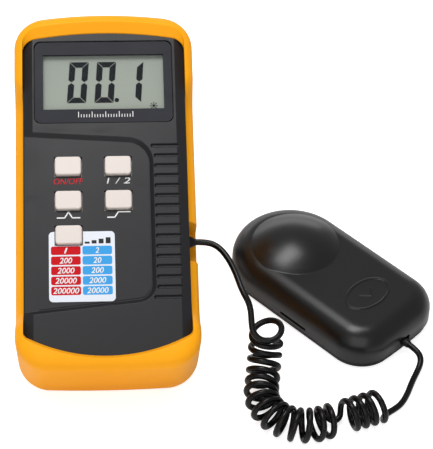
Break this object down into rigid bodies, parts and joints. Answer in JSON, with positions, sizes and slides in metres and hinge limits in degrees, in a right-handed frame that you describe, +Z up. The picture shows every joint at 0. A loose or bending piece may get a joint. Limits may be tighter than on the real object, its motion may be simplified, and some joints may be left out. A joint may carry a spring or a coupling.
{
  "type": "lux meter",
  "caption": "Hand-held light meter in a rubber holster, propped on its tilt stand, with a domed sensor head on a curly cord.",
  "frame": {"origin": "middle of the footprint of meter and sensor head together, on the table they stand on", "axes": "+X across the meter to its right, where the sensor head lies; +Y from the meter's foot end towards its raised display end; +Z up"},
  "size_m": [0.1671, 0.1616, 0.0999],
  "materials": {
    "holster_rubber": "satin",
    "case_plastic": "satin",
    "bezel_plastic": "fine matte",
    "window_clear": "clear",
    "display_glass": "grey-green liquid crystal",
    "panel_film": "fine matte",
    "key_plastic": "satin",
    "label_film": "printed",
    "screw_steel": "zinc plated",
    "board_laminate": "solder mask",
    "frame_plastic": "moulded",
    "strip_rubber": "striped",
    "chip_plastic": "moulded",
    "pot_plastic": "moulded",
    "capacitor_film": "sleeved",
    "crystal_can": "stamped",
    "switch_plastic": "moulded",
    "battery_can": "plain wrap",
    "snap_plastic": "moulded",
    "wire_sleeve": "insulated",
    "foam": "foam",
    "stand_plastic": "satin",
    "pin_steel": "drawn",
    "cap_plastic": "satin gloss",
    "base_plastic": "satin",
    "diffuser_white": "translucent",
    "filter_glass": "polished",
    "ring_plastic": "matte",
    "diode_can": "stamped",
    "cord_jacket": "glossy",
    "grommet_rubber": "moulded"
  },
  "bodies": {
    "meter": {"holster": "holster_rubber", "rear_case": "case_plastic", "front_case": "case_plastic", "lcd_bezel": "bezel_plastic", "lcd_window": "window_clear", "lcd_glass": "display_glass", "lcd_frame": "frame_plastic", "lcd_connectors": "strip_rubber", "key_panel": "panel_film", "range_label": "label_film", "main_board": "board_laminate", "board_screws": "screw_steel", "case_screws": "screw_steel", "key_switches": "switch_plastic", "converter_chip": "chip_plastic", "trim_pots": "pot_plastic", "crystal": "crystal_can", "capacitors": "capacitor_film", "battery": "battery_can", "battery_snap": "snap_plastic", "battery_wires": "wire_sleeve", "meter_grommet": "grommet_rubber", "stand_pins": "pin_steel", "sensor_base": "base_plastic", "sensor_top": "base_plastic", "diffuser_dome": "diffuser_white", "sensor_board": "board_laminate", "photodiode": "diode_can", "filter_ring": "ring_plastic", "filter_glass": "filter_glass", "sensor_screws": "screw_steel", "sensor_grommet": "grommet_rubber", "sensor_wires": "wire_sleeve", "cord_meter_lead": "cord_jacket", "cord_coil": "cord_jacket", "cord_sensor_lead": "cord_jacket"},
    "stand": {"tilt_stand": "stand_plastic"},
    "door": {"battery_door": "case_plastic", "battery_pad": "foam"},
    "cap": {"sensor_cap": "cap_plastic"},
    "key_power_body": {"key_power": "key_plastic"},
    "key_unit_body": {"key_unit": "key_plastic"},
    "key_peak_body": {"key_peak": "key_plastic"},
    "key_hold_body": {"key_hold": "key_plastic"},
    "key_range_body": {"key_range": "key_plastic"}
  },
  "joints": [
    {"name": "stand_hinge", "type": "hinge", "parent": "meter", "child": "stand", "pos_m": [-0.0481, 0.03654, 0.04674], "axis": [1, 0, 0], "range_deg": [-77.5, 0]},
    {"name": "battery_door_slide", "type": "slide", "parent": "meter", "child": "door", "axis": [0, 0.4618, -0.887], "range_m": [0, 0.0075]},
    {"name": "sensor_cap_lift", "type": "slide", "parent": "meter", "child": "cap", "axis": [0, 0, 1], "range_m": [0, 0.025]},
    {"name": "key_power_press", "type": "slide", "parent": "meter", "child": "key_power_body", "axis": [0, 0.4618, -0.887], "range_m": [0, 0.0008], "stiffness_N_per_m": 400, "springref_m": -0.0005},
    {"name": "key_unit_press", "type": "slide", "parent": "meter", "child": "key_unit_body", "axis": [0, 0.4618, -0.887], "range_m": [0, 0.0008], "stiffness_N_per_m": 400, "springref_m": -0.0005},
    {"name": "key_peak_press", "type": "slide", "parent": "meter", "child": "key_peak_body", "axis": [0, 0.4618, -0.887], "range_m": [0, 0.0008], "stiffness_N_per_m": 400, "springref_m": -0.0005},
    {"name": "key_hold_press", "type": "slide", "parent": "meter", "child": "key_hold_body", "axis": [0, 0.4618, -0.887], "range_m": [0, 0.0008], "stiffness_N_per_m": 400, "springref_m": -0.0005},
    {"name": "key_range_press", "type": "slide", "parent": "meter", "child": "key_range_body", "axis": [0, 0.4618, -0.887], "range_m": [0, 0.0008], "stiffness_N_per_m": 400, "springref_m": -0.0005}
  ]
}
